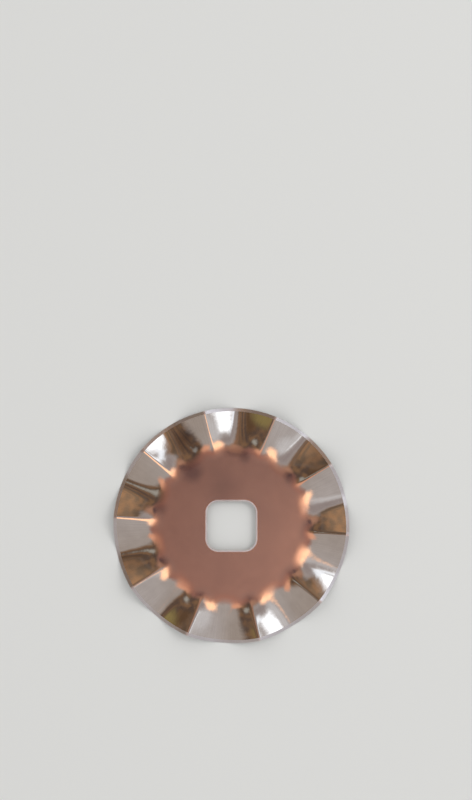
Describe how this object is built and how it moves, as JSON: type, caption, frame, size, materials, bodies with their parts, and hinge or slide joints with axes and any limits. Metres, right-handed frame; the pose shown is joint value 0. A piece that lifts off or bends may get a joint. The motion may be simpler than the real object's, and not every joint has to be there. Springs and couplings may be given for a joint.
{
  "type": "rotary cutter blade",
  "caption": "Thin round cutting wheel with a radially fluted rim that cuts a wavy line, and a rounded square hole at its centre that keys it to the hub of a rotary cutter.",
  "frame": {"origin": "on the blade's axis, half way through the sheet of the flat hub", "axes": "+Z along the axis of rotation, out of the face that the picture shows; X and Y square to the flats of the hole, and +Y up the picture"},
  "size_m": [0.045, 0.045, 0.0024],
  "materials": {
    "steel": null
  },
  "bodies": {
    "root": {"blade": "steel"}
  },
  "joints": []
}
